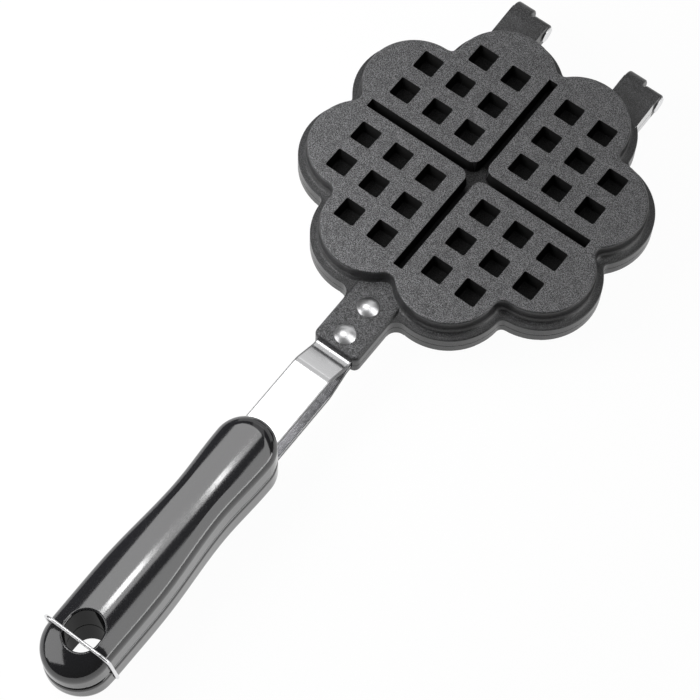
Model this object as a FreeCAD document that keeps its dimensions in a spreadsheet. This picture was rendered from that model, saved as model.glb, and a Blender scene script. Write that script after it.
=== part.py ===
import FreeCAD, Part
import Sketcher
import math
import os
from types import SimpleNamespace
from FreeCAD import Placement, Rotation, Vector

# A stovetop waffle iron for four heart-shaped waffles, in millimetres, +Z up.
# The origin is the middle of the lower plate's flat outer face. +Y runs from the grips to the hinges.
# Both halves are built alike in a frame of their own, with z = 0 on the parting plane and the
# outer face up. The upper half is lifted to the parting plane, the lower one is also turned over.

SIZES = [
    ("half_height", 13.0, "parting plane to the flat outer face of a plate"),
    ("parting_gap", 0.3, "free gap between the two rims when shut"),
    ("overrun", 1.0, "how far a cutting tool passes a surface"),

    ("lobe_count", 8, "lobes around a plate"),
    ("lobe_centre_radius", 51.8, "radius on which the lobe centres lie"),
    ("lobe_radius", 23.6, "radius of one lobe of the raised outer face"),
    ("valley_radius", 4.4, "radius of the valley between two lobes"),
    ("rim_offset", 4.0, "how far the rim stands out of the raised face"),
    ("rim_valley_radius", 3.0, "radius of the valleys along the rim"),
    ("rim_height", 4.8, "height of the rim above the parting plane"),
    ("rim_edge_radius", 0.5, "rounding of the rim's outer edge"),
    ("cove_radius", 3.3, "hollow rounding between the rim and the raised wall"),
    ("face_edge_radius", 0.9, "rounding round the raised outer face"),
    ("plate_wall", 2.8, "thickness of the casting"),
    ("cavity_corner", 2.0, "rounding between the cavity's wall and its bottom"),

    ("pocket_rows", 3, "pockets along each side of a heart"),
    ("pocket_pitch", 17.5, "from one pocket to the next"),
    ("first_pocket", 14.4, "from the middle lines to the first row of pockets"),
    ("pocket_side", 10.3, "width of a pocket at the outer face"),
    ("pocket_floor_side", 8.8, "width of a pocket at its floor"),
    ("pocket_corner", 0.9, "rounding of a pocket's upright corners"),
    ("stud_wall", 1.8, "casting around a pocket, which makes the stud inside"),
    ("stud_corner", 1.6, "rounding of a stud's upright corners"),
    ("stud_clear", 3.0, "parting plane to the tips of the studs and ridges"),

    ("groove_width", 4.6, "width of the dividing grooves at the outer face"),
    ("groove_floor_width", 3.4, "width of the dividing grooves at their floor"),
    ("groove_reach", 58.2, "middle of the plate to the end of a groove"),
    ("groove_corner", 4.5, "rounding of the heart tips where the grooves cross"),

    ("tang_width", 23.0, "width of the handle tang"),
    ("tang_end", 102.2, "middle of the plate to the end of the tang"),
    ("tang_root", 60.0, "middle of the plate to where the tang starts inside the wall"),
    ("tang_height", 6.0, "height of the tang above the parting plane"),
    ("tang_corner", 3.0, "rounding of the tang's upright corners"),
    ("tang_edge", 1.8, "rounding of the tang's upper edges"),
    ("tang_blend", 5.0, "hollow rounding where the tang leaves the rim"),

    ("strap_width", 18.0, "width of a strap"),
    ("strap_thickness", 2.0, "thickness of a strap"),
    ("strap_seat", 1.0, "parting plane to the strap inside the tang"),
    ("strap_lift", 7.0, "parting plane to the strap along its free run"),
    ("strap_inner_end", 71.0, "middle of the plate to the strap's riveted end"),
    ("strap_bend_start", 105.5, "middle of the plate to the first bend"),
    ("strap_bend_length", 11.5, "length of the slanted stretch along Y"),
    ("strap_bend_radius", 5.0, "inner radius of both bends"),
    ("strap_outer_end", 216.0, "middle of the plate to the strap's end in the grip"),
    ("strap_side_clearance", 0.15, "between a strap and the channel of the tang"),
    ("strap_end_radius", 3.0, "rounding of the strap's end corners"),
    ("insert_clearance", 0.02, "between a strap and the grip moulded round it"),
    ("anchor_radius", 3.5, "hole in the strap that the grip's moulding fills"),
    ("anchor_from_end", 12.0, "strap's end in the grip to its anchor hole"),

    ("rivet_first", 78.4, "middle of the plate to the first rivet"),
    ("rivet_pitch", 16.2, "from one rivet to the other"),
    ("rivet_radius", 2.5, "radius of a rivet's shank"),
    ("rivet_head_radius", 5.0, "radius of a rivet's domed head"),
    ("rivet_head_height", 1.7, "height of the domed head"),
    ("rivet_tail_radius", 4.0, "radius of the flattened tail"),
    ("rivet_tail_thickness", 0.7, "thickness of the flattened tail"),
    ("rivet_clearance", 0.03, "between a rivet's shank and its holes"),

    ("hinge_spacing", 60.8, "between the middles of the two hinges"),
    ("hinge_reach", 84.5, "middle of the plate to the hinge axis"),
    ("tab_width", 19.0, "width of a hinge tab"),
    ("tab_root", 64.0, "middle of the plate to where a tab starts inside the wall"),
    ("tab_flat", 4.0, "level stretch of the tab just before the hinge axis"),
    ("eye_radius", 6.5, "radius of the upper knuckle, which turns on the pin"),
    ("eye_edge", 0.9, "rounding of the upper knuckle's end"),
    ("stub_radius", 4.5, "radius of the lower knuckle, which holds the pin"),
    ("knuckle_gap", 0.8, "gap between the two knuckles along the pin"),
    ("hinge_clearance", 0.4, "round a knuckle of the other half"),
    ("pin_radius", 2.5, "radius of a hinge pin"),
    ("pin_running_clearance", 0.05, "between the pin and the upper knuckle"),
    ("pin_press_clearance", 0.01, "between the pin and the lower knuckle"),
    ("pin_head_radius", 3.6, "radius of the pin's head"),
    ("pin_head_thickness", 0.6, "thickness of the pin's head"),
    ("pin_setback", 0.5, "how far the pin ends inside the upper knuckle"),
    ("pin_tip", 0.6, "bevel of the pin's tip"),

    ("grip_start", 149.6, "middle of the plate to the front of a grip"),
    ("grip_length", 135.0, "length of a grip"),
    ("grip_height", 17.8, "parting plane to the crown of a grip"),
    ("grip_gap", 0.7, "gap between the two grips when shut"),
    ("grip_front_half", 13.8, "half width of a grip at its front"),
    ("grip_waist_half", 12.6, "half width of a grip at its waist"),
    ("grip_waist_at", 42.1, "front of a grip to its waist"),
    ("grip_swell_half", 14.7, "half width of a grip behind its waist"),
    ("grip_swell_at", 76.6, "front of a grip to the swell behind its waist"),
    ("grip_rear_half", 15.0, "half width of a grip at its rounded end"),
    ("grip_crown_radius", 6.2, "rounding between a grip's crown and its sides"),
    ("grip_inner_radius", 2.2, "rounding between a grip's inner face and its sides"),
    ("crown_arch_radius", 42.0, "radius of the crown's arch across the grip"),
    ("crown_fall_radius", 28.0, "radius in which the crown falls away to the end"),
    ("crown_fall_start", 20.6, "grip's end to where the crown begins to fall"),
    ("hang_hole_width", 15.2, "width of the hanging hole"),
    ("hang_hole_length", 17.4, "length of the hanging hole"),
    ("hang_hole_from_end", 19.8, "grip's end to the middle of the hanging hole"),
    ("hang_hole_edge", 0.8, "rounding of the hanging hole's outer edge"),

    ("clip_wire_radius", 0.75, "radius of the clip's wire"),
    ("clip_pivot_from_end", 18.5, "grip's end to the clip's pivot"),
    ("clip_pivot_depth", 8.9, "parting plane to the clip's pivot in the lower grip"),
    ("clip_bar_from_end", 15.4, "grip's end to the clip's cross bar"),
    ("clip_bar_clearance", 0.3, "between the cross bar and the crown"),
    ("clip_side_clearance", 0.5, "between the clip's legs and the grips"),
    ("clip_shoulder_radius", 4.5, "bend of the wire beside the cross bar"),
    ("clip_foot_radius", 1.6, "bend of the wire beside the pivot"),
    ("clip_hold", 4.5, "how deep the wire's ends reach into the lower grip"),
    ("clip_hole_depth", 5.2, "depth of the holes for the wire's ends"),
    ("clip_hole_clearance", 0.08, "between the wire's ends and their holes"),
]

doc = FreeCAD.newDocument("WaffleIron")
sheet = doc.addObject("Spreadsheet::Sheet", "Sizes")
for row, (alias, value, note) in enumerate(SIZES, start=1):
    sheet.set("A%d" % row, alias)
    sheet.set("B%d" % row, str(value))
    sheet.setAlias("B%d" % row, alias)
    sheet.set("C%d" % row, note)
doc.recompute()

s = SimpleNamespace(**{alias: float(sheet.get(alias)) for alias, value, note in SIZES})
ORIGIN = Vector(0, 0, 0)
AXIS_X = Vector(1, 0, 0)
AXIS_Y = Vector(0, 1, 0)
AXIS_Z = Vector(0, 0, 1)
half_gap = s.parting_gap / 2

UPPER_PLACE = Placement(Vector(0, 0, s.half_height), Rotation())
LOWER_PLACE = Placement(Vector(0, 0, s.half_height), Rotation(AXIS_Y, 180))


# Shapes that several pieces share

def polar(radius, degrees, height=0.0):
    angle = math.radians(degrees)
    return Vector(radius * math.cos(angle), radius * math.sin(angle), height)


def lobed_prism(lobe_radius, valley_radius, low, high):
    """A block with the plate's flower outline: round lobes and a rounded valley between each two."""
    count = int(s.lobe_count)
    step = 360.0 / count
    half_chord = s.lobe_centre_radius * math.sin(math.radians(step / 2))
    inward = s.lobe_centre_radius * math.cos(math.radians(step / 2))
    valley_circle = inward + math.sqrt((lobe_radius + valley_radius) ** 2 - half_chord ** 2)
    share = lobe_radius / (lobe_radius + valley_radius)
    edges = []
    for index in range(count):
        before = polar(s.lobe_centre_radius, (index - 0.5) * step, low)
        after = polar(s.lobe_centre_radius, (index + 0.5) * step, low)
        beyond = polar(valley_circle, (index + 1) * step, low)
        valley = polar(valley_circle, index * step, low)
        enter = before + (valley - before) * share
        leave = after + (valley - after) * share
        far = after + (beyond - after) * share
        valley_bottom = polar(valley_circle - valley_radius, index * step, low)
        lobe_top = polar(s.lobe_centre_radius + lobe_radius, (index + 0.5) * step, low)
        edges.append(Part.Arc(enter, valley_bottom, leave).toShape())
        edges.append(Part.Arc(leave, lobe_top, far).toShape())
    return Part.Face(Part.Wire(edges)).extrude(Vector(0, 0, high - low))


def arcs_at(shape, height, radii):
    """Edges of the given radii that lie level at the given height."""
    found = []
    for edge in shape.Edges:
        level = all(abs(vertex.Z - height) < 1e-4 for vertex in edge.Vertexes)
        if level and hasattr(edge.Curve, "Radius"):
            if any(abs(edge.Curve.Radius - radius) < 1e-4 for radius in radii):
                found.append(edge)
    return found


def tapered_block(low_size, high_size, low, high):
    """A block on the Z axis whose (x, y) size changes evenly from its low end to its high end."""
    a, b = low_size[0] / 2, low_size[1] / 2
    c, d = high_size[0] / 2, high_size[1] / 2
    block = Part.makeWedge(-a, 0, -b, -d, -c, a, high - low, b, d, c)
    block.rotate(ORIGIN, AXIS_X, 90)
    block.translate(Vector(0, 0, low))
    return block


def rounded_frustum(low_side, high_side, low, high, corner):
    """A square tapered block with rounded upright corners."""
    block = tapered_block((low_side, low_side), (high_side, high_side), low, high)
    upright = [edge for edge in block.Edges if abs(edge.Vertexes[0].Z - edge.Vertexes[1].Z) > 0]
    return block.makeFillet(corner, upright)


def rod(radius, start, direction, length):
    return Part.makeCylinder(radius, length, start, direction)


# The cast plates

def pocket_places():
    """Middles of the pockets: a square grid in each heart, less the one at its outer corner."""
    rows = int(s.pocket_rows)
    places = []
    for side_x in (-1, 1):
        for side_y in (-1, 1):
            for i in range(rows):
                for j in range(rows):
                    if i + j < 2 * (rows - 1):
                        x = side_x * (s.first_pocket + i * s.pocket_pitch)
                        y = side_y * (s.first_pocket + j * s.pocket_pitch)
                        places.append(Vector(x, y, 0))
    return places


def copies_at(shape, places):
    copies = []
    for place in places:
        copy = shape.copy()
        copy.translate(place)
        copies.append(copy)
    return copies


def plate_shell():
    """The rim with the raised face on it, both rounded, still solid."""
    rim_lobe = s.lobe_radius + s.rim_offset
    rim = lobed_prism(rim_lobe, s.rim_valley_radius, half_gap, s.rim_height)
    face = lobed_prism(s.lobe_radius, s.valley_radius, half_gap, s.half_height)
    shell = rim.fuse(face).removeSplitter()
    cove = arcs_at(shell, s.rim_height, (s.lobe_radius, s.valley_radius))
    shell = shell.makeFillet(s.cove_radius, cove)
    edge = arcs_at(shell, s.half_height, (s.lobe_radius, s.valley_radius))
    shell = shell.makeFillet(s.face_edge_radius, edge)
    edge = arcs_at(shell, s.rim_height, (rim_lobe, s.rim_valley_radius))
    return shell.makeFillet(s.rim_edge_radius, edge)


def tang():
    """The pad that the strap is riveted to, before its channel is cut."""
    length = s.tang_end - s.tang_root
    pad = Part.makeBox(s.tang_width, length, s.tang_height - half_gap,
                       Vector(-s.tang_width / 2, -s.tang_end, half_gap))
    upright = [edge for edge in pad.Edges if all(abs(v.Y + s.tang_end) < 1e-4 for v in edge.Vertexes)
               and abs(edge.Vertexes[0].Z - edge.Vertexes[1].Z) > 0]
    pad = pad.makeFillet(s.tang_corner, upright)
    upper = [edge for edge in pad.Edges if all(abs(v.Z - s.tang_height) < 1e-4 for v in edge.Vertexes)
             and any(v.Y < -s.tang_root - s.overrun for v in edge.Vertexes)]
    return pad.makeFillet(s.tang_edge, upper)


def strap_channel():
    """What is cut from the tang for the strap, its rivets and their tails."""
    half = s.strap_width / 2 + s.strap_side_clearance
    start = s.strap_inner_end - s.strap_side_clearance
    top = s.strap_seat + s.strap_thickness
    length = s.tang_end + s.overrun - start
    channel = Part.makeBox(2 * half, length, top + s.overrun,
                           Vector(-half, -start - length, -s.overrun))
    holes = [rod(s.rivet_radius + s.rivet_clearance, Vector(0, -y, 0), AXIS_Z, s.tang_height + s.overrun)
             for y in rivet_places()]
    return [channel] + holes


def rivet_places():
    return (s.rivet_first, s.rivet_first + s.rivet_pitch)


def hinge_middles():
    return (-s.hinge_spacing / 2, s.hinge_spacing / 2)


def tab(middle, knuckle_radius):
    """A hinge tab of full width, rising from the rim to the top of the knuckle."""
    top = knuckle_radius
    reach = s.hinge_reach
    profile = [Vector(0, s.tab_root, half_gap), Vector(0, reach, half_gap), Vector(0, reach, top),
               Vector(0, reach - s.tab_flat, top), Vector(0, s.tab_root, s.rim_height)]
    face = Part.Face(Part.makePolygon(profile + profile[:1]))
    solid = face.extrude(Vector(s.tab_width, 0, 0))
    solid.translate(Vector(middle - s.tab_width / 2, 0, 0))
    return solid


def knuckle(middle, radius):
    """The half's own knuckle, at the -X end of its tab."""
    start = middle - s.tab_width / 2
    length = (s.tab_width - s.knuckle_gap) / 2
    barrel = rod(radius, Vector(start, s.hinge_reach, 0), AXIS_X, length)
    ends = [edge for edge in barrel.Edges if edge.Closed]
    return barrel.makeFillet(s.eye_edge, ends)


def knuckle_room(middle, other_radius):
    """The space for the other half's knuckle, at the +X end of the tab."""
    start = middle - s.knuckle_gap / 2
    length = s.tab_width / 2 + s.knuckle_gap / 2 + s.overrun
    return rod(other_radius + s.hinge_clearance, Vector(start, s.hinge_reach, 0), AXIS_X, length)


def pin_bore(middle, clearance):
    start = middle - s.tab_width / 2 - s.overrun
    length = s.tab_width + 2 * s.overrun
    return rod(s.pin_radius + clearance, Vector(start, s.hinge_reach, 0), AXIS_X, length)


def tang_blend(side):
    """The hollow rounding between the tang and the lobe of the rim beside it."""
    lobe = polar(s.lobe_centre_radius, 270 + side * 180.0 / s.lobe_count, half_gap)
    reach = s.lobe_radius + s.rim_offset + s.tang_blend
    x = side * (s.tang_width / 2 + s.tang_blend)
    centre = Vector(x, lobe.y - math.sqrt(reach ** 2 - (x - lobe.x) ** 2), half_gap)
    on_tang = Vector(side * s.tang_width / 2, centre.y, half_gap)
    on_rim = centre + (lobe - centre) * (s.tang_blend / reach)
    between = (on_tang - centre) + (on_rim - centre)
    between.normalize()
    hollow = Part.Arc(on_tang, centre + between * s.tang_blend, on_rim).toShape()
    corner = Vector(0, -s.tang_root, half_gap)
    edges = [hollow, Part.makeLine(on_rim, corner), Part.makeLine(corner, on_tang)]
    return Part.Face(Part.Wire(edges)).extrude(Vector(0, 0, s.rim_height - half_gap))


def cavity_block(ceiling):
    """The hollow of a half, before its studs and ridges are left standing."""
    block = lobed_prism(s.lobe_radius - s.plate_wall, s.valley_radius + s.plate_wall,
                        half_gap - s.overrun, ceiling)
    rounding = arcs_at(block, ceiling, (s.lobe_radius - s.plate_wall, s.valley_radius + s.plate_wall))
    return block.makeFillet(s.cavity_corner, rounding)


def pocket_and_stud(depth, ceiling):
    """A pocket's wall runs on above the outer face at its own slope, and a stud follows its pocket."""
    floor = s.half_height - depth
    slope = (s.pocket_side - s.pocket_floor_side) / depth
    mouth = s.pocket_side + slope * s.overrun
    pocket = rounded_frustum(s.pocket_floor_side, mouth, floor, s.half_height + s.overrun, s.pocket_corner)
    tip = s.pocket_floor_side + 2 * s.stud_wall - slope * s.plate_wall
    root = tip + slope * (ceiling + s.overrun - s.stud_clear)
    stud = rounded_frustum(tip, root, s.stud_clear, ceiling + s.overrun, s.stud_corner)
    return pocket, stud


def grooves_and_ridges(depth, ceiling):
    """The crossing grooves between the hearts, and the ridges that follow them inside."""
    floor = s.half_height - depth
    slope = (s.groove_width - s.groove_floor_width) / depth
    mouth = s.groove_width + slope * s.overrun
    reach = 2 * s.groove_reach
    high = s.half_height + s.overrun
    grooves = tapered_block((reach, s.groove_floor_width), (reach, mouth), floor, high).fuse(
        tapered_block((s.groove_floor_width, reach), (mouth, reach), floor, high))
    inner = [edge for edge in grooves.Edges if abs(edge.Vertexes[0].Z - edge.Vertexes[1].Z) > 0
             and edge.CenterOfMass.x ** 2 + edge.CenterOfMass.y ** 2 < s.groove_width ** 2]
    grooves = grooves.makeFillet(s.groove_corner, inner)
    tip = s.groove_floor_width + 2 * s.stud_wall - slope * s.plate_wall
    root = tip + slope * (ceiling + s.overrun - s.stud_clear)
    span = 2 * (s.lobe_centre_radius + s.lobe_radius)
    high = ceiling + s.overrun
    ridges = [tapered_block((span, tip), (span, root), s.stud_clear, high),
              tapered_block((tip, span), (root, span), s.stud_clear, high)]
    return grooves, ridges


def casting():
    """One half without its hinge, with the parting plane at z = 0 and the outer face up."""
    ceiling = s.half_height - s.plate_wall
    depth = s.half_height - s.plate_wall - s.stud_clear
    pocket, stud = pocket_and_stud(depth, ceiling)
    grooves, ridges = grooves_and_ridges(depth, ceiling)
    places = pocket_places()
    cavity = cavity_block(ceiling).cut(copies_at(stud, places) + ridges)
    solid = plate_shell().fuse([tang(), tang_blend(-1), tang_blend(1)]).removeSplitter()
    return solid.cut([cavity, grooves] + copies_at(pocket, places) + strap_channel())


def head_rooms(middle):
    """Room for a pin's head beside either end of its tab."""
    radius = s.pin_head_radius + s.hinge_clearance
    length = s.pin_head_thickness + s.hinge_clearance
    return [rod(radius, Vector(middle + side * s.tab_width / 2, s.hinge_reach, 0), AXIS_X * side, length)
            for side in (-1, 1)]


def plate(cast, own_radius, other_radius, bore_clearance):
    """A half with its hinge: its own knuckles, and room for those of the other half."""
    adds = []
    cuts = []
    for middle in hinge_middles():
        adds += [tab(middle, own_radius), knuckle(middle, own_radius)]
        cuts += [knuckle_room(middle, other_radius), pin_bore(middle, bore_clearance)]
        cuts += head_rooms(middle)
    hollow = cavity_block(s.half_height - s.plate_wall)
    hinges = [piece.cut(hollow) for piece in adds]
    return cast.fuse(hinges).cut(cuts)


# The moulded grips

def crown_height(from_end):
    """Height of the grip's crown at a distance from the grip's end."""
    fall = max(s.crown_fall_start - from_end, 0.0)
    return s.grip_height - s.crown_fall_radius + math.sqrt(s.crown_fall_radius ** 2 - fall ** 2)


def grip_outline():
    """The grip seen from above: two round ends, a waist and a swell."""
    front = -s.grip_start - s.grip_front_half
    rear = -s.grip_start - s.grip_length + s.grip_rear_half
    along = [(s.grip_front_half, front), (s.grip_waist_half, -s.grip_start - s.grip_waist_at),
             (s.grip_swell_half, -s.grip_start - s.grip_swell_at), (s.grip_rear_half, rear)]
    edges = []
    for side in (1, -1):
        curve = Part.BSplineCurve()
        curve.interpolate([Vector(side * x, y, 0) for x, y in along],
                          InitialTangent=-AXIS_Y, FinalTangent=-AXIS_Y)
        edges.append(curve.toShape())
    front_tip = Vector(0, -s.grip_start, 0)
    rear_tip = Vector(0, -s.grip_start - s.grip_length, 0)
    edges.append(Part.Arc(Vector(s.grip_front_half, front, 0), front_tip,
                          Vector(-s.grip_front_half, front, 0)).toShape())
    edges.append(Part.Arc(Vector(s.grip_rear_half, rear, 0), rear_tip,
                          Vector(-s.grip_rear_half, rear, 0)).toShape())
    return Part.Face(Part.Wire(Part.__sortEdges__(edges)))


def crown_block():
    """Everything under the grip's crown: arched across, level along Y, then falling to the end."""
    low = s.grip_gap / 2
    end = -s.grip_start - s.grip_length
    fall_start = end + s.crown_fall_start
    half = max(s.grip_front_half, s.grip_swell_half, s.grip_rear_half) + s.overrun
    side = s.grip_height - s.crown_arch_radius + math.sqrt(s.crown_arch_radius ** 2 - half ** 2)
    corners = [Vector(half, fall_start, side), Vector(half, fall_start, low),
               Vector(-half, fall_start, low), Vector(-half, fall_start, side)]
    edges = [Part.makeLine(a, b) for a, b in zip(corners, corners[1:])]
    top = Vector(0, fall_start, s.grip_height)
    edges.append(Part.Arc(corners[-1], top, corners[0]).toShape())
    section = Part.Face(Part.Wire(edges))
    level = section.extrude(Vector(0, -s.grip_start + s.overrun - fall_start, 0))
    pivot = Vector(0, fall_start, s.grip_height - s.crown_fall_radius)
    return level, section.revolve(pivot, AXIS_X, 90)


def hanging_hole():
    """The obround hole near the grip's end, as a cutting tool."""
    half = s.hang_hole_width / 2
    straight = (s.hang_hole_length - s.hang_hole_width) / 2
    middle = -s.grip_start - s.grip_length + s.hang_hole_from_end
    height = s.grip_height + 2 * s.overrun
    ends = [rod(half, Vector(0, middle + side * straight, -s.overrun), AXIS_Z, height) for side in (-1, 1)]
    box = Part.makeBox(2 * half, 2 * straight, height, Vector(-half, middle - straight, -s.overrun))
    return ends[0].fuse([ends[1], box]).removeSplitter()


def strap_insert():
    """The strap's space in the grip, round the plug that fills its anchor hole."""
    half = s.strap_width / 2 + s.insert_clearance
    end = s.strap_outer_end + s.insert_clearance
    low = s.strap_lift - s.insert_clearance
    high = s.strap_lift + s.strap_thickness + s.insert_clearance
    length = end - s.grip_start + s.overrun
    room = Part.makeBox(2 * half, length, high - low, Vector(-half, -end, low))
    corners = [edge for edge in room.Edges if all(abs(v.Y + end) < 1e-4 for v in edge.Vertexes)
               and abs(edge.Vertexes[0].Z - edge.Vertexes[1].Z) > 0]
    room = room.makeFillet(s.strap_end_radius + s.insert_clearance, corners)
    plug = rod(s.anchor_radius - s.insert_clearance,
               Vector(0, s.anchor_from_end - s.strap_outer_end, low), AXIS_Z, high - low)
    return room.cut(plug)


def grip():
    """One grip, with the parting plane at z = 0 and its crown up."""
    low = s.grip_gap / 2
    prism = grip_outline().extrude(Vector(0, 0, s.grip_height + s.overrun))
    base = prism.BoundBox
    above = Part.makeBox(base.XLength, base.YLength, s.grip_height, Vector(base.XMin, base.YMin, low))
    level, fall = crown_block()
    solid = prism.common(above).common(level.fuse(fall)).removeSplitter()
    fall_start = -s.grip_start - s.grip_length + s.crown_fall_start

    def is_crown_edge(edge):
        ends = edge.Vertexes
        across = all(abs(v.Y - fall_start) < 1e-4 for v in ends)
        upright = abs(ends[0].Y - ends[-1].Y) < 1e-4 and abs(ends[0].X - ends[-1].X) < 1e-4
        return not across and not upright and all(v.Z > low + 1e-4 for v in ends)

    solid = solid.makeFillet(s.grip_crown_radius, [e for e in solid.Edges if is_crown_edge(e)])
    inner = [e for e in solid.Edges if all(abs(v.Z - low) < 1e-4 for v in e.Vertexes)]
    solid = solid.makeFillet(s.grip_inner_radius, inner)
    solid = solid.cut(hanging_hole())
    middle = -s.grip_start - s.grip_length + s.hang_hole_from_end
    reach = s.hang_hole_length / 2 + s.hang_hole_edge
    mouth = [e for e in solid.Edges if e.BoundBox.ZMin > s.grip_height / 2
             and abs(e.BoundBox.YMin - middle) < reach and abs(e.BoundBox.YMax - middle) < reach
             and max(abs(e.BoundBox.XMin), abs(e.BoundBox.XMax)) < s.hang_hole_width / 2 + s.hang_hole_edge]
    return solid.makeFillet(s.hang_hole_edge, mouth).cut(strap_insert())


def clip_pivot():
    """The clip's pivot, in the frame of the upper half."""
    return Vector(0, -s.grip_start - s.grip_length + s.clip_pivot_from_end, -s.clip_pivot_depth)


def with_clip_holes(plain_grip):
    """The lower grip also holds the ends of the clip's wire."""
    pivot = clip_pivot()
    outside = s.grip_rear_half + s.overrun
    depth = s.clip_hole_depth + s.overrun
    radius = s.clip_wire_radius + s.clip_hole_clearance
    holes = [rod(radius, Vector(side * outside, pivot.y, s.clip_pivot_depth), AXIS_X * -side, depth)
             for side in (-1, 1)]
    return plain_grip.cut(holes)


# The wire clip

def wire_clip():
    """A wire bail: two feet on the pivot axis, two legs and a cross bar over the upper grip."""
    pivot = clip_pivot()
    bar_y = -s.grip_start - s.grip_length + s.clip_bar_from_end
    bar_z = crown_height(s.clip_bar_from_end) + s.clip_wire_radius + s.clip_bar_clearance
    reach = math.hypot(bar_y - pivot.y, bar_z - pivot.z)
    lean = math.degrees(math.atan2(pivot.y - bar_y, bar_z - pivot.z))
    leg = s.grip_rear_half + s.clip_wire_radius + s.clip_side_clearance
    foot = s.grip_rear_half - s.clip_hold
    shoulder, heel = s.clip_shoulder_radius, s.clip_foot_radius
    turn = 1 - math.sqrt(0.5)
    edges = []
    for side in (-1, 1):
        edges.append(Part.makeLine(Vector(side * foot, 0, 0), Vector(side * (leg - heel), 0, 0)))
        edges.append(Part.Arc(Vector(side * (leg - heel), 0, 0),
                              Vector(side * (leg - heel * turn), 0, heel * turn),
                              Vector(side * leg, 0, heel)).toShape())
        edges.append(Part.makeLine(Vector(side * leg, 0, heel), Vector(side * leg, 0, reach - shoulder)))
        edges.append(Part.Arc(Vector(side * leg, 0, reach - shoulder),
                              Vector(side * (leg - shoulder * turn), 0, reach - shoulder * turn),
                              Vector(side * (leg - shoulder), 0, reach)).toShape())
    edges.append(Part.makeLine(Vector(shoulder - leg, 0, reach), Vector(leg - shoulder, 0, reach)))
    path = Part.Wire(Part.__sortEdges__(edges))
    start = path.OrderedVertexes[0].Point
    section = Part.Wire(Part.makeCircle(s.clip_wire_radius, start, AXIS_X))
    solid = path.makePipeShell([section], True, False)
    solid.rotate(ORIGIN, AXIS_X, lean)
    solid.translate(pivot)
    return solid


# Pieces set with shapes

def shaped(label, shape, place):
    feature = doc.addObject("Part::Feature", label)
    feature.Label = label
    feature.Shape = shape
    feature.Placement = place * shape.Placement
    return feature


# Pieces drawn as sketches bound to the sizes

workings = doc.addObject("Spreadsheet::Sheet", "Workings")


def new_body(label):
    body = doc.addObject("PartDesign::Body", label)
    body.Label = label
    planes = {feature.Role: feature for feature in body.Origin.OriginFeatures}
    return body, planes


def new_sketch(body, plane, name):
    sketch = body.newObject("Sketcher::SketchObject", name)
    sketch.AttachmentSupport = [(plane, "")]
    sketch.MapMode = "FlatFace"
    return sketch


def value_of(expression):
    """What an expression over the sizes gives, worked out on a sheet of its own."""
    workings.set("A1", "=" + expression)
    workings.recompute()
    return float(workings.get("A1"))


def bind(sketch, kind, *geometry, size):
    """A dimension whose value follows an expression over the sizes."""
    index = sketch.addConstraint(Sketcher.Constraint(kind, *geometry, value_of(size)))
    sketch.setExpression("Constraints[%d]" % index, size)


def outline(sketch, corners, arcs=()):
    """A closed outline of lines through corners; a side in arcs is round about the upright axis."""
    points = [Vector(value_of(x), value_of(y), 0) for x, y in corners]
    count = len(points)
    for i in range(count):
        start, end = points[i], points[(i + 1) % count]
        if i in arcs:
            height = end.y - start.y
            centre = Vector(0, start.y + (height ** 2 - start.x ** 2) / (2 * height), 0)
            circle = Part.Circle(centre, AXIS_Z, end.y - centre.y)
            sketch.addGeometry(Part.ArcOfCircle(circle, circle.parameter(start), circle.parameter(end)))
            sketch.addConstraint(Sketcher.Constraint("PointOnObject", i, 3, -2))
        else:
            sketch.addGeometry(Part.LineSegment(start, end))
    for i in range(count):
        sketch.addConstraint(Sketcher.Constraint("Coincident", i, 2, (i + 1) % count, 1))
    for i, (x, y) in enumerate(corners):
        for kind, size in (("DistanceX", x), ("DistanceY", y)):
            if size == "0":
                axis = -2 if kind == "DistanceX" else -1
                sketch.addConstraint(Sketcher.Constraint("PointOnObject", i, 1, axis))
            else:
                bind(sketch, kind, -1, 1, i, 1, size=size)


def circle_at(sketch, along, radius):
    """A circle on the sketch's upright axis."""
    centre = Vector(0, value_of(along), 0)
    index = sketch.addGeometry(Part.Circle(centre, AXIS_Z, value_of(radius)))
    sketch.addConstraint(Sketcher.Constraint("PointOnObject", index, 3, -2))
    bind(sketch, "DistanceY", -1, 1, index, 3, size=along)
    bind(sketch, "Radius", index, size=radius)


def fillet(body, base, name, radius, wanted):
    """Round the edges of the last feature that pass a test."""
    doc.recompute()
    names = ["Edge%d" % (i + 1) for i, edge in enumerate(base.Shape.Edges) if wanted(edge)]
    feature = body.newObject("PartDesign::Fillet", name)
    feature.Base = (base, names)
    feature.setExpression("Radius", radius)
    doc.recompute()
    return feature


def revolve(label, plane_role, axis_role, corners, arcs=()):
    """A turned piece: half its section, revolved about one of its axes."""
    body, planes = new_body(label)
    section = new_sketch(body, planes[plane_role], label + "_section")
    outline(section, corners, arcs)
    turned = body.newObject("PartDesign::Revolution", label + "_turned")
    turned.Profile = section
    turned.ReferenceAxis = (planes[axis_role], [""])
    turned.Angle = 360
    return body


def place_body(body, base, turned_over):
    """Set a body's placement, with its position bound to the sizes."""
    body.Placement = Placement(ORIGIN, Rotation(AXIS_Y, 180 if turned_over else 0))
    for axis, size in zip("xyz", base):
        if size != "0":
            body.setExpression("Placement.Base." + axis, size)


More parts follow.
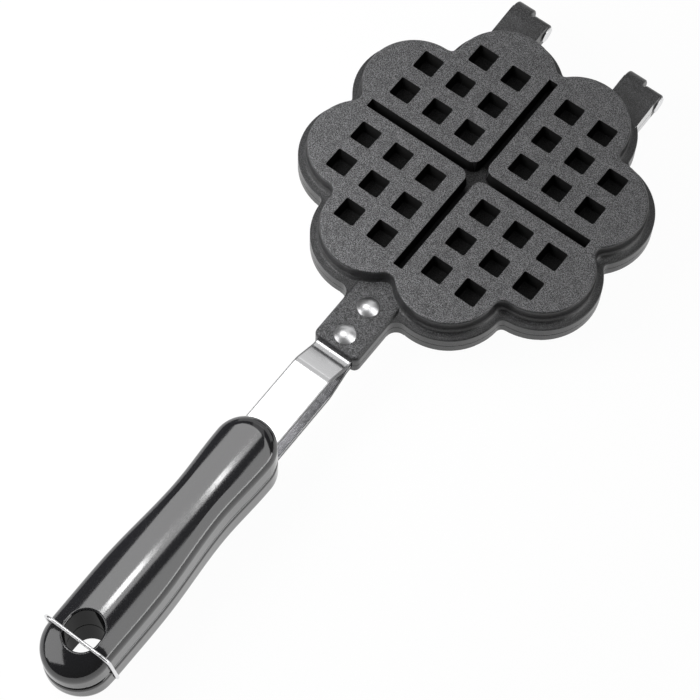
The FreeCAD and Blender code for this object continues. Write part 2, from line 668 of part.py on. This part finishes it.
def strap(label, turned_over):
    """A flat steel strap with two bends, rivet holes and an anchor hole."""
    body, planes = new_body(label)
    bend_end = "(Sizes.strap_bend_start + Sizes.strap_bend_length)"
    seat_top = "Sizes.strap_seat + Sizes.strap_thickness"
    lift_top = "Sizes.strap_lift + Sizes.strap_thickness"
    slope = "atan((Sizes.strap_lift - Sizes.strap_seat) / Sizes.strap_bend_length)"
    miter = "Sizes.strap_thickness * tan(%s / 2)" % slope
    corners = [("-Sizes.strap_inner_end", "Sizes.strap_seat"),
               ("-Sizes.strap_bend_start", "Sizes.strap_seat"),
               ("-" + bend_end, "Sizes.strap_lift"),
               ("-Sizes.strap_outer_end", "Sizes.strap_lift"),
               ("-Sizes.strap_outer_end", lift_top),
               ("-" + bend_end + " + " + miter, lift_top),
               ("-Sizes.strap_bend_start + " + miter, seat_top),
               ("-Sizes.strap_inner_end", seat_top)]
    section = new_sketch(body, planes["YZ_Plane"], label + "_section")
    outline(section, corners)
    pad = body.newObject("PartDesign::Pad", label + "_pad")
    pad.Profile = section
    pad.SideType = "Symmetric"
    pad.setExpression("Length", "Sizes.strap_width")
    doc.recompute()

    slant = s.strap_bend_start + s.strap_bend_length
    shift = value_of(miter)
    inner = [(-s.strap_bend_start + shift, s.strap_seat + s.strap_thickness), (-slant, s.strap_lift)]
    outer = [(-s.strap_bend_start, s.strap_seat), (-slant + shift, s.strap_lift + s.strap_thickness)]

    def at_bend(edge, bends):
        return any(all(abs(v.Y - y) < 1e-3 and abs(v.Z - z) < 1e-3 for v in edge.Vertexes) for y, z in bends)

    bent = fillet(body, pad, label + "_inner_bends", "Sizes.strap_bend_radius", lambda e: at_bend(e, inner))
    bent = fillet(body, bent, label + "_outer_bends", "Sizes.strap_bend_radius + Sizes.strap_thickness",
                  lambda e: at_bend(e, outer))

    def at_corner(edge):
        a, b = edge.Vertexes[0], edge.Vertexes[-1]
        ends = min(abs(a.Y + s.strap_inner_end), abs(a.Y + s.strap_outer_end))
        return ends < 1e-3 and abs(a.X - b.X) < 1e-3 and abs(a.Y - b.Y) < 1e-3

    bent = fillet(body, bent, label + "_corners", "Sizes.strap_end_radius", at_corner)

    holes = new_sketch(body, planes["XY_Plane"], label + "_holes")
    rivet_hole = "Sizes.rivet_radius + Sizes.rivet_clearance"
    circle_at(holes, "-Sizes.rivet_first", rivet_hole)
    circle_at(holes, "-Sizes.rivet_first - Sizes.rivet_pitch", rivet_hole)
    circle_at(holes, "-Sizes.strap_outer_end + Sizes.anchor_from_end", "Sizes.anchor_radius")
    drilled = body.newObject("PartDesign::Pocket", label + "_drilled")
    drilled.Profile = holes
    drilled.SideType = "Symmetric"
    drilled.setExpression("Length", "2 * (Sizes.strap_lift + Sizes.strap_thickness + Sizes.overrun)")
    doc.recompute()
    if drilled.Shape.Volume >= bent.Shape.Volume:
        raise RuntimeError(label + ": the holes cut nothing")
    place_body(body, ("0", "0", "Sizes.half_height"), turned_over)
    return body


def rivet(label, along, turned_over):
    """A rivet with a domed head on the tang and a flattened tail on the strap."""
    seat = "Sizes.strap_seat"
    tail = seat + " - Sizes.rivet_tail_thickness"
    corners = [("0", tail), ("Sizes.rivet_tail_radius", tail), ("Sizes.rivet_tail_radius", seat),
               ("Sizes.rivet_radius", seat), ("Sizes.rivet_radius", "Sizes.tang_height"),
               ("Sizes.rivet_head_radius", "Sizes.tang_height"),
               ("0", "Sizes.tang_height + Sizes.rivet_head_height")]
    body = revolve(label, "XZ_Plane", "Z_Axis", corners, arcs=(5,))
    place_body(body, ("0", along, "Sizes.half_height"), turned_over)
    return body


def hinge_pin(label, middle):
    """A headed pin, pressed into the lower knuckle and running in the upper one."""
    head = "Sizes.tab_width / 2"
    face = head + " + Sizes.pin_head_thickness"
    tip = "-" + head + " + Sizes.pin_setback"
    corners = [(tip, "0"), (face, "0"), (face, "Sizes.pin_head_radius"), (head, "Sizes.pin_head_radius"),
               (head, "Sizes.pin_radius"), (tip + " + Sizes.pin_tip", "Sizes.pin_radius"),
               (tip, "Sizes.pin_radius - Sizes.pin_tip")]
    body = revolve(label, "XY_Plane", "X_Axis", corners)
    place_body(body, (middle, "Sizes.hinge_reach", "Sizes.half_height"), False)
    return body


# The assembly

cast_half = casting()
plain_grip = grip()
upper_half = plate(cast_half, s.eye_radius, s.stub_radius, s.pin_running_clearance)
lower_half = plate(cast_half, s.stub_radius, s.eye_radius, s.pin_press_clearance)
pieces = [
    shaped("upper_plate", upper_half, UPPER_PLACE),
    shaped("lower_plate", lower_half, LOWER_PLACE),
    shaped("upper_grip", plain_grip, UPPER_PLACE),
    shaped("lower_grip", with_clip_holes(plain_grip), LOWER_PLACE),
    shaped("wire_clip", wire_clip(), UPPER_PLACE),
    hinge_pin("hinge_pin_left", "-Sizes.hinge_spacing / 2"),
    hinge_pin("hinge_pin_right", "Sizes.hinge_spacing / 2"),
]
for half, turned_over in (("upper", False), ("lower", True)):
    pieces.append(strap(half + "_strap", turned_over))
    pieces.append(rivet(half + "_rivet_front", "-Sizes.rivet_first", turned_over))
    pieces.append(rivet(half + "_rivet_rear", "-Sizes.rivet_first - Sizes.rivet_pitch", turned_over))

doc.recompute()
for item in doc.Objects:
    if "Invalid" in item.State or "Error" in item.State:
        raise RuntimeError(item.Label + " did not compute")
for piece in pieces:
    if piece.Shape.isNull() or not piece.Shape.isValid() or len(piece.Shape.Solids) != 1:
        raise RuntimeError(piece.Label + " is not one valid solid")

os.makedirs("parts", exist_ok=True)
for piece in pieces:
    piece.Shape.exportStep("parts/%s.step" % piece.Label)
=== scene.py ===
import math

import bmesh
import bpy
from mathutils import Matrix, Vector


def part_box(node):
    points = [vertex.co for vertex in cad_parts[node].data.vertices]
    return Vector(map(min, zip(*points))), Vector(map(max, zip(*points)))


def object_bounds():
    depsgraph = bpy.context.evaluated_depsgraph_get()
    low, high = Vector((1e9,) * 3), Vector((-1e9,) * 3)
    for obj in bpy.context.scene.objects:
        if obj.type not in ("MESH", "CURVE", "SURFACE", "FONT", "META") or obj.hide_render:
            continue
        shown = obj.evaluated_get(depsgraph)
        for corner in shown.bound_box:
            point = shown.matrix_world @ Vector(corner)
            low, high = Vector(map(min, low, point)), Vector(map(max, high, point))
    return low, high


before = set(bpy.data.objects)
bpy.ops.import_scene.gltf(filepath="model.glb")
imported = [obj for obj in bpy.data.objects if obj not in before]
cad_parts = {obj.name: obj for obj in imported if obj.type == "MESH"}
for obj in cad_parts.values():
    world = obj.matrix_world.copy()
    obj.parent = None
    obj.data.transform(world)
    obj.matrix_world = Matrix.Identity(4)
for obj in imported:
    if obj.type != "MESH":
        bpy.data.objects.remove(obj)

bl_info = {
    "name": "Waffle Iron Finish",
    "version": (1, 0, 0),
    "blender": (4, 5, 0),
    "location": "View3D > Sidebar > Waffle Iron",
    "description": "Finishes the cast plates, steel and grips of a stovetop waffle iron and sets its studio",
    "category": "Object",
}

CAD_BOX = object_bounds()
UPPER_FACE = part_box("upper_plate")[1][2]
LOWER_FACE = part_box("lower_plate")[0][2]
MM = 0.001

# Pockets and grooves of a plate, from its two middle lines, and depths, from its outer face, that bound the
# plate's painted shade

POCKET_HALF = 5.4 * MM
POCKETS_START = 8.7 * MM
POCKETS_END = 55.5 * MM
CORNER_FREE = 40.0 * MM
GROOVE_HALF = 3.0 * MM
GROOVE_END = 59.5 * MM
CROSSING_RADIUS = 6.5 * MM
CROSSING_DEPTH = 6.4 * MM
HOLLOW_DEPTHS = (0.25 * MM, 9.2 * MM)
SHOULDER_DEPTH = 1.2 * MM
RIM_DEPTH = 7.6 * MM

# Where the hinge tabs start, the sawn side of the right one, and where a strap's side starts

TABS_START = 64.0 * MM
SAWN_SIDE = 39.5 * MM
SAWN_STRETCH = (62.0 * MM, 79.5 * MM)
STRAP_SIDE = 8.35 * MM

# How soft the border between two finishes is

CRISP = 0.05 * MM
SOFT = 0.3 * MM
BLURRED = 4.0 * MM

# Colours that no setting changes, and numbers that Blender's bevel and colour mix nodes take

WHITE = (1.0, 1.0, 1.0, 1.0)
BARE_METAL = (0.62, 0.62, 0.62)
BEVEL_SAMPLES = 6
MIX_SHARE, MIX_FIRST, MIX_SECOND, MIX_RESULT = 0, 6, 7, 2

# Fitted to the photograph: where the camera stands, and its right, up and backward directions

CAMERA_PLACE = (0.2555, -0.4620, 0.9158)
CAMERA_AXES = ((0.79853, 0.60158, 0.02117), (-0.54770, 0.71152, 0.44019), (0.24975, -0.36310, 0.89765))
SENSOR_WIDTH = 36.0
CLIP_START = 0.05

# The floor, and what the lights face and are squared up with

FLOOR_HALF = 6.0
FLOOR_GAP = 0.05 * MM
MIDDLE = (0.0, -0.08, 0.0)
PLATE_TOP = (0.0, 0.0, 0.02)
GRIP_FRONT = (0.0025, -0.182, 0.031)
GRIP_REAR = (0.001, -0.241, 0.031)
ALONG = (0.0, 1.0, 0.0)
UPRIGHT = (0.0, 0.0, 1.0)

# Each light's name, its setting and the share of it, direction, distance, sides, aim and edge

LIGHTS = (
    ("softbox_top", "softbox", 1.0, (-0.348, 0.135, 0.928), 1.5, (0.84, 0.70), MIDDLE, ALONG),
    ("softbox_side", "side", 1.0, (0.65, 0.27, 0.707), 1.5, (2.13, 0.9), MIDDLE, ALONG),
    ("softbox_front", "front", 1.0, (-0.55, -0.63, 0.50), 1.5, (0.9, 1.1), MIDDLE, ALONG),
    ("raking_light", "rake", 1.0, (-0.6, -0.6, 0.46), 0.32, (0.3, 0.3), PLATE_TOP, ALONG),
    ("horizon_strip", "spot", 0.3, (0.95, 0.24, 0.12), 1.5, (0.25, 1.2), MIDDLE, ALONG),
    ("front_light", "spot", 1.5, (-0.155, 0.29, 0.943), 1.4, (0.13, 0.02), GRIP_FRONT, ALONG),
    ("rear_light", "spot", 1.5, (-0.22, 0.235, 0.947), 1.4, (0.13, 0.05), GRIP_REAR, ALONG),
    ("back_panel", "back", 1.0, (-0.2, 0.94, 0.28), 1.8, (3.0, 1.2), MIDDLE, UPRIGHT),
    ("upper_panel", "back", 0.85, (-0.19, 0.63, 0.75), 1.8, (0.8, 1.17), MIDDLE, UPRIGHT),
)

# Lights that matt surfaces don't catch, and lights that glossy ones don't reflect

ONLY_REFLECTED = ("softbox_top", "softbox_side", "softbox_front")
NEVER_REFLECTED = ("raking_light",)


# Shader arithmetic

class Wire:
    """A socket that takes part in arithmetic."""

    def __init__(self, nodes, socket):
        self.nodes = nodes
        self.socket = socket

    def __add__(self, other):
        return self.nodes.math("ADD", self, other)

    def __sub__(self, other):
        return self.nodes.math("SUBTRACT", self, other)

    def __rsub__(self, other):
        return self.nodes.math("SUBTRACT", other, self)

    def __mul__(self, other):
        return self.nodes.math("MULTIPLY", self, other)

    def __truediv__(self, other):
        return self.nodes.math("DIVIDE", self, other)

    __radd__ = __add__
    __rmul__ = __mul__

    def __abs__(self):
        return self.nodes.math("ABSOLUTE", self)

    def fraction(self):
        return self.nodes.math("FRACT", self)

    def least(self, other):
        return self.nodes.math("MINIMUM", self, other)

    def most(self, other):
        return self.nodes.math("MAXIMUM", self, other)

    def ramp(self, low, high, start=0.0, end=1.0):
        """A smooth step: start up to low, end from high on."""
        return self.nodes.node("ShaderNodeMapRange", {"interpolation_type": "SMOOTHSTEP"},
                               {"Value": self, "From Min": low, "From Max": high,
                                "To Min": start, "To Max": end}).out("Result")

    def below(self, limit, soft):
        return self.ramp(limit - soft, limit + soft, 1.0, 0.0)

    def above(self, limit, soft):
        return self.ramp(limit - soft, limit + soft)

    def between(self, low, high, soft):
        return self.above(low, soft) * self.below(high, soft)


class Made:
    """A node whose outputs come as wires."""

    def __init__(self, nodes, node):
        self.nodes = nodes
        self.node = node

    def out(self, key):
        return Wire(self.nodes, self.node.outputs[key])


class Nodes:
    """The nodes of a material or world under construction."""

    def __init__(self, owner):
        owner.use_nodes = True
        self.tree = owner.node_tree

    def node(self, kind, settings=None, inputs=None):
        """Add a node, with its settings first, then the values or wires of its sockets."""
        node = self.tree.nodes.new(kind)
        for key, value in (settings or {}).items():
            setattr(node, key, value)
        pairs = inputs.items() if isinstance(inputs, dict) else enumerate(inputs or [])
        for key, value in pairs:
            self.feed(node.inputs[key], value)
        return Made(self, node)

    def feed(self, socket, value):
        if isinstance(value, Wire):
            self.tree.links.new(value.socket, socket)
        else:
            socket.default_value = value

    def math(self, operation, *terms):
        return self.node("ShaderNodeMath", {"operation": operation}, terms).out(0)

    def split(self, vector):
        parts = self.node("ShaderNodeSeparateXYZ", None, [vector])
        return parts.out("X"), parts.out("Y"), parts.out("Z")


class Paint(Nodes):
    """A material under construction: a Principled shader and the nodes that feed it."""

    def __init__(self, name, colour):
        self.material = bpy.data.materials.new(name)
        self.material.diffuse_color = (*colour, 1.0)
        super().__init__(self.material)
        self.shader = self.tree.nodes["Principled BSDF"]
        coordinates = self.node("ShaderNodeTexCoord")
        self.place = coordinates.out("Object")
        self.normal = coordinates.out("Normal")

    def mix(self, share, first, second):
        """Blend two colours by a share."""
        first, second = (tone if isinstance(tone, Wire) else (*tone, 1.0) for tone in (first, second))
        return self.node("ShaderNodeMix", {"data_type": "RGBA"},
                         {MIX_SHARE: share, MIX_FIRST: first, MIX_SECOND: second}).out(MIX_RESULT)

    def noise(self, scale, detail=2.0, roughness=0.5, stretch=(1.0, 1.0, 1.0)):
        place = self.node("ShaderNodeMapping", None, {"Vector": self.place, "Scale": stretch}).out(0)
        return self.node("ShaderNodeTexNoise", None, {"Vector": place, "Scale": scale, "Detail": detail,
                                                      "Roughness": roughness}).out("Fac")

    def bump(self, height, distance, strength, edge):
        """Raise the surface by a height, over edges that are rounded off by a radius."""
        rounded = self.node("ShaderNodeBevel", {"samples": BEVEL_SAMPLES}, {"Radius": edge}).out("Normal")
        return self.node("ShaderNodeBump", None, {"Height": height, "Distance": distance,
                                                  "Strength": strength, "Normal": rounded}).out("Normal")

    def dull(self, colour):
        """A surface with no shine at all."""
        return self.node("ShaderNodeBsdfPrincipled", None, {"Base Color": (*colour, 1.0), "Roughness": 1.0,
                                                            "Specular IOR Level": 0.0})

    def lay_over(self, share, upper):
        """Cover the Principled shader with another one, by a share."""
        base = Wire(self, self.shader.outputs[0])
        blend = self.node("ShaderNodeMixShader", None, [share, base, upper.out(0)])
        self.feed(self.tree.nodes["Material Output"].inputs["Surface"], blend.out(0))

    def finish(self, **sockets):
        for key, value in sockets.items():
            self.feed(self.shader.inputs[key.replace("_", " ")], value)
        return self.material


def shade(colour, factor):
    """A colour made lighter or darker by a factor."""
    return tuple(min(1.0, part * factor) for part in colour)


def give(material, *names):
    """Put a material on CAD nodes, through the slots of their objects."""
    for name in names:
        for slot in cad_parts[name].material_slots:
            slot.link = "OBJECT"
            slot.material = material


# Sizes and colours that a user would change

class PlateFinish(bpy.types.PropertyGroup):
    """The coating of the two cast plates."""
    coat: bpy.props.FloatVectorProperty(
        name="Coating", description="Colour of the non-stick coating", subtype="COLOR",
        default=(0.052, 0.052, 0.054), min=0.0, max=1.0)
    # Colour of the painted shade laid over the pockets and grooves
    pocket: bpy.props.FloatVectorProperty(
        name="Pockets", description="Colour down in the pockets and grooves", subtype="COLOR",
        default=(0.009, 0.009, 0.009), min=0.0, max=1.0)
    grain: bpy.props.FloatProperty(
        name="Grain", description="Size of one grain of the coating", unit="LENGTH",
        default=0.00048, min=0.0001, max=0.01)
    pitch: bpy.props.FloatProperty(
        name="Pocket pitch", description="Distance from one pocket to the next", unit="LENGTH",
        default=0.0175, min=0.005, max=0.05)
    first_row: bpy.props.FloatProperty(
        name="First row", description="Middle line to the first row of pockets", unit="LENGTH",
        default=0.0144, min=0.005, max=0.05)


class SteelFinish(bpy.types.PropertyGroup):
    """The straps, rivets, pins and clip."""
    bright: bpy.props.FloatVectorProperty(
        name="Steel", description="Colour of the polished steel", subtype="COLOR",
        default=(0.80, 0.80, 0.81), min=0.0, max=1.0)
    roughness: bpy.props.FloatProperty(
        name="Roughness", description="How far the polish spreads a reflection", subtype="FACTOR",
        default=0.16, min=0.0, max=1.0)


class GripFinish(bpy.types.PropertyGroup):
    """The moulded grips."""
    black: bpy.props.FloatVectorProperty(
        name="Moulding", description="Colour of the moulded grips", subtype="COLOR",
        default=(0.005, 0.005, 0.006), min=0.0, max=1.0)
    gloss: bpy.props.FloatProperty(
        name="Roughness", description="How far the gloss spreads a reflection", subtype="FACTOR",
        default=0.06, min=0.0, max=1.0)
    hole_at: bpy.props.FloatProperty(
        name="Hole distance", description="Middle of the plates to the middle of the hanging hole",
        unit="LENGTH", default=0.2648, min=0.0, max=1.0)
    hole_radius: bpy.props.FloatProperty(
        name="Hole radius", description="Half the width of the hanging hole", unit="LENGTH",
        default=0.0076, min=0.0, max=0.05)
    hole_slot: bpy.props.FloatProperty(
        name="Hole slot", description="Half the straight stretch of the hanging hole's sides",
        unit="LENGTH", default=0.0011, min=0.0, max=0.05)


class StudioSetting(bpy.types.PropertyGroup):
    """Floor, lights and camera."""
    floor: bpy.props.FloatVectorProperty(
        name="Floor", description="Colour of the floor", subtype="COLOR",
        default=(0.95, 0.95, 0.95), min=0.0, max=1.0)
    softbox: bpy.props.FloatProperty(
        name="Softbox", description="Strength of the softbox above", default=2.7, min=0.0, max=20.0)
    side: bpy.props.FloatProperty(
        name="Side softbox", description="Strength of the softbox on the right", default=2.0,
        min=0.0, max=20.0)
    front: bpy.props.FloatProperty(
        name="Front softbox", description="Strength of the softbox in front on the left",
        default=2.0, min=0.0, max=20.0)
    rake: bpy.props.FloatProperty(
        name="Raking light", description="Strength of the near light that only matt surfaces show",
        default=6.8, min=0.0, max=50.0)
    spot: bpy.props.FloatProperty(
        name="Small lights", description="Strength of the small lights that shine on grips and edges",
        default=14.0, min=0.0, max=50.0)
    back: bpy.props.FloatProperty(
        name="Back panels", description="Strength of the low and high panels behind the hinges",
        default=0.62, min=0.0, max=20.0)
    room: bpy.props.FloatProperty(
        name="Room", description="Strength of the even room light", default=0.12, min=0.0, max=5.0)
    lens: bpy.props.FloatProperty(
        name="Lens", description="Focal length of the camera", subtype="DISTANCE_CAMERA",
        default=122.4, min=10.0, max=500.0)


# Cast plates

def from_row(distance, finish):
    """How far a place lies from the middle of the nearest row of pockets."""
    half, whole_rows = 0.5, 10
    rows = (distance - finish.first_row) / finish.pitch + (whole_rows + half)
    return abs(rows.fraction() - half) * finish.pitch


def pocket_shade_share(x, y, depth, finish):
    """How far painted shade covers the coating in the pockets and grooves, less so where the grooves cross.
    """
    across, along = abs(x), abs(y)
    nearer, farther = across.least(along), across.most(along)
    field = nearer.between(POCKETS_START, CORNER_FREE, SOFT) * farther.below(POCKETS_END, SOFT)
    pockets = (from_row(across, finish).below(POCKET_HALF, CRISP)
               * from_row(along, finish).below(POCKET_HALF, CRISP) * field)
    grooves = nearer.below(GROOVE_HALF, CRISP) * farther.below(GROOVE_END, SOFT)
    hollow_shade = pockets.most(grooves) * depth.between(*HOLLOW_DEPTHS, soft=0.12 * MM)
    # Less painted shade where the grooves cross, so their deeper floor there renders lighter
    crossing = ((x * x + y * y).below(CROSSING_RADIUS ** 2, soft=2.5e-5)
                * depth.above(CROSSING_DEPTH, soft=0.4 * MM))
    return hollow_shade * (0.9 - crossing * 0.45)


def plate_coating(name, finish, face, up):
    """Grainy black coating with painted shade in the pockets and grooves, on steep walls, below the plateau
    and on the hinge tabs, and bare metal on the hinge tab's sawn side.
    """
    paint = Paint(name, finish.coat)
    x, y, z = paint.split(paint.place)
    facing_x, facing_y, facing_z = paint.split(paint.normal)
    depth = (z - face) * -up

    flat = abs(facing_z).above(0.8, soft=0.15)
    tabs = y.above(TABS_START, BLURRED)
    # Painted shade: the light fleck fades on steep walls and below the plateau's edge, more on the hinge
    # tabs and the rim, so these render darker
    shoulder = depth.above(SHOULDER_DEPTH, soft=0.4 * MM) * (0.4 + tabs * 0.3)
    rim = depth.above(RIM_DEPTH, soft=0.2 * MM) * 0.5
    unshaded_share = flat * (1 - shoulder - rim).most(0.0)

    grain = paint.noise(1 / finish.grain, detail=4.0, roughness=0.75)
    patches = paint.noise(0.16 / finish.grain).ramp(0.35, 0.65)
    fleck = grain.ramp(0.41, 0.62) * (unshaded_share * 0.85 + 0.15) * (0.8 + patches * 0.3)
    coat = paint.mix(fleck, shade(finish.coat, 0.1), shade(finish.coat, 3.9))
    coat_roughness = 0.32 + flat * (0.05 + grain * 0.14)

    sawn = (x.above(SAWN_SIDE, CRISP) * facing_x.above(0.9, soft=0.05)
            * y.between(*SAWN_STRETCH, soft=0.4 * MM))
    streak = paint.noise(60, detail=3.0, roughness=0.6, stretch=(1.0, 1.0, 30.0))
    colour = paint.mix(sawn, coat, BARE_METAL)
    rough = coat_roughness * (1 - sawn) + (streak * 0.2 + 0.25) * sawn

    normal = paint.bump(grain * flat + grain * 0.15, distance=0.12 * MM, strength=0.9, edge=0.45 * MM)
    # Painted shade: a dull, nearly black coat laid over the pockets and grooves
    paint.lay_over(pocket_shade_share(x, y, depth, finish), paint.dull(finish.pocket))
    return paint.finish(Base_Color=colour, Roughness=rough, Metallic=sawn, Normal=normal,
                        Specular_IOR_Level=0.5)


class WAFFLE_OT_plates(bpy.types.Operator):
    """Coat the upper and lower cast plates"""
    bl_idname = "waffle.plates"
    bl_label = "Cast plates"

    def execute(self, context):
        finish = context.scene.waffle_plates
        give(plate_coating("coating_upper", finish, UPPER_FACE, 1.0), "upper_plate")
        give(plate_coating("coating_lower", finish, LOWER_FACE, -1.0), "lower_plate")
        return {"FINISHED"}


# Steel

def polished_steel(name, finish, roughness, streaks, edge=0.4 * MM, shaded_sides=False):
    """Bright steel with faint rolling marks, with rougher strip sides that are painted dark as shade."""
    paint = Paint(name, finish.bright)
    mark = paint.noise(220, detail=4.0, roughness=0.6, stretch=streaks)
    cloud = paint.noise(35)
    tone = paint.mix(cloud * 0.5 + mark * 0.3, finish.bright, shade(finish.bright, 0.86))
    rough = roughness * 0.7 + mark * roughness * 0.4 + cloud * roughness * 0.2
    # Painted shade: a strip's sides and the margins by its rounded edges get a near black tone, and are made
    # rougher
    if shaded_sides:
        margin = abs(paint.split(paint.place)[0]).above(STRAP_SIDE, soft=0.08 * MM)
        side = abs(paint.split(paint.normal)[0]).above(0.9, soft=0.05).most(margin * 0.6)
        tone = paint.mix(side, tone, shade(finish.bright, 0.12))
        rough = rough + side * 0.25
    normal = paint.bump(mark, distance=0.01 * MM, strength=0.35, edge=edge)
    return paint.finish(Base_Color=tone, Roughness=rough, Metallic=1.0, Normal=normal)


class WAFFLE_OT_steel(bpy.types.Operator):
    """Polish the straps, rivets, hinge pins and wire clip"""
    bl_idname = "waffle.steel"
    bl_label = "Steel pieces"

    def execute(self, context):
        finish = context.scene.waffle_steel
        give(polished_steel("strap_steel", finish, finish.roughness, (8.0, 0.35, 8.0),
                            edge=0.7 * MM, shaded_sides=True),
             "upper_strap", "lower_strap")
        give(polished_steel("rivet_steel", finish, finish.roughness * 2.0, (1.0, 1.0, 1.0)),
             "upper_rivet_front", "upper_rivet_rear", "lower_rivet_front", "lower_rivet_rear",
             "hinge_pin_left", "hinge_pin_right")
        give(polished_steel("wire_steel", finish, finish.roughness, (0.4, 3.0, 3.0)), "wire_clip")
        return {"FINISHED"}


# Grips

def black_moulding(finish):
    """Glossy black moulding with a faint waviness and fine specks in its gloss, its gloss taken off in the
    hanging hole as painted shade.
    """
    paint = Paint("black_moulding", finish.black)
    x, y, z = paint.split(paint.place)
    along = (abs(y + finish.hole_at) - finish.hole_slot).most(0.0)
    hole = (x * x + along * along).below((finish.hole_radius + 0.15 * MM) ** 2, soft=4e-7)
    wave = paint.noise(28, stretch=(1.0, 0.5, 1.0))
    speck = paint.noise(2600, roughness=0.6).ramp(0.45, 0.75)
    tone = paint.mix(wave, finish.black, shade(finish.black, 1.6))
    rough = finish.gloss + speck * 0.07 + wave * 0.03
    normal = paint.bump(wave, distance=0.25 * MM, strength=0.10, edge=0.3 * MM)
    # Painted shade: a dull black coat laid over the inside of the hanging hole, so it renders dark
    paint.lay_over(hole * 0.85, paint.dull(finish.black))
    return paint.finish(Base_Color=tone, Roughness=rough, Normal=normal, Specular_IOR_Level=1.0)


class WAFFLE_OT_grips(bpy.types.Operator):
    """Finish the two moulded grips"""
    bl_idname = "waffle.grips"
    bl_label = "Grips"

    def execute(self, context):
        give(black_moulding(context.scene.waffle_grips), "upper_grip", "lower_grip")
        return {"FINISHED"}


# Studio

def pale_floor(setting, height):
    """A matt floor that camera and reflections see as nearly white, with a faint shadow."""
    mesh = bpy.data.meshes.new("floor")
    shape = bmesh.new()
    bmesh.ops.create_grid(shape, x_segments=1, y_segments=1, size=FLOOR_HALF,
                          matrix=Matrix.Translation((0.0, 0.0, height)))
    shape.to_mesh(mesh)
    shape.free()
    floor = bpy.data.objects.new("floor", mesh)
    bpy.context.scene.collection.objects.link(floor)

    paint = Paint("pale_floor", setting.floor)
    path = paint.node("ShaderNodeLightPath")
    seen = path.out("Is Camera Ray").most(path.out("Is Glossy Ray")).most(path.out("Is Transmission Ray"))
    white = paint.node("ShaderNodeEmission", None, {"Color": WHITE, "Strength": 1.0})
    paint.lay_over(seen * 0.97, white)
    mesh.materials.append(
        paint.finish(Base_Color=(*setting.floor, 1.0), Roughness=0.9, Specular_IOR_Level=0.1))


def pale_world(level):
    """An even room light, white where the camera looks past the floor."""
    world = bpy.data.worlds.new("pale_room")
    nodes = Nodes(world)
    seen = nodes.node("ShaderNodeLightPath").out("Is Camera Ray")
    back = nodes.tree.nodes["Background"]
    nodes.feed(back.inputs["Color"], WHITE)
    nodes.feed(back.inputs["Strength"], seen * (1.0 - level) + level)
    bpy.context.scene.world = world


def area_light(name, radiance, towards, distance, sides, aim, edge):
    """A flat light in a direction from its aim, its second side along an axis of the object."""
    light = bpy.data.lights.new(name, "AREA")
    light.shape = "RECTANGLE"
    light.size, light.size_y = sides
    light.energy = radiance * math.pi * sides[0] * sides[1]
    lamp = bpy.data.objects.new(name, light)
    direction = Vector(towards).normalized()
    lamp.location = Vector(aim) + direction * distance
    across = Vector(edge).cross(direction).normalized()
    lamp.rotation_euler = Matrix((across, direction.cross(across), direction)).transposed().to_euler()
    lamp.visible_diffuse = name not in ONLY_REFLECTED
    lamp.visible_glossy = name not in NEVER_REFLECTED
    bpy.context.scene.collection.objects.link(lamp)


def photo_camera(lens):
    camera = bpy.data.cameras.new("photo_camera")
    camera.lens = lens
    camera.sensor_width = SENSOR_WIDTH
    camera.clip_start = CLIP_START
    holder = bpy.data.objects.new("photo_camera", camera)
    turn = Matrix(CAMERA_AXES).transposed().to_4x4()
    holder.matrix_world = Matrix.Translation(CAMERA_PLACE) @ turn
    bpy.context.scene.collection.objects.link(holder)
    bpy.context.scene.camera = holder


class WAFFLE_OT_studio(bpy.types.Operator):
    """Set the floor, soft lights and camera"""
    bl_idname = "waffle.studio"
    bl_label = "Studio"

    def execute(self, context):
        setting = context.scene.waffle_studio
        pale_floor(setting, CAD_BOX[0][2] - FLOOR_GAP)
        pale_world(setting.room)
        for name, strength, share, towards, distance, sides, aim, edge in LIGHTS:
            area_light(name, getattr(setting, strength) * share, towards, distance, sides, aim, edge)
        photo_camera(setting.lens)
        context.scene.view_settings.view_transform = "Standard"
        return {"FINISHED"}


# Add-on

STEPS = {
    "plates": PlateFinish,
    "steel": SteelFinish,
    "grips": GripFinish,
    "studio": StudioSetting,
}


class WAFFLE_PT_finish(bpy.types.Panel):
    """Lists the steps of the finish"""
    bl_label = "Waffle Iron"
    bl_idname = "WAFFLE_PT_finish"
    bl_space_type = "VIEW_3D"
    bl_region_type = "UI"
    bl_category = "Waffle Iron"

    def draw(self, context):
        for step, group in STEPS.items():
            box = self.layout.box()
            for name in group.__annotations__:
                box.prop(getattr(context.scene, f"waffle_{step}"), name)
            box.operator(f"waffle.{step}")


CLASSES = (*STEPS.values(), WAFFLE_OT_plates, WAFFLE_OT_steel, WAFFLE_OT_grips, WAFFLE_OT_studio,
           WAFFLE_PT_finish)


def register():
    for item in CLASSES:
        bpy.utils.register_class(item)
    for step, group in STEPS.items():
        setattr(bpy.types.Scene, f"waffle_{step}", bpy.props.PointerProperty(type=group))


def unregister():
    for step in STEPS:
        delattr(bpy.types.Scene, f"waffle_{step}")
    for item in reversed(CLASSES):
        bpy.utils.unregister_class(item)


def main():
    register()
    for step in STEPS:
        getattr(bpy.ops.waffle, step)()


if __name__ == "__main__":
    main()
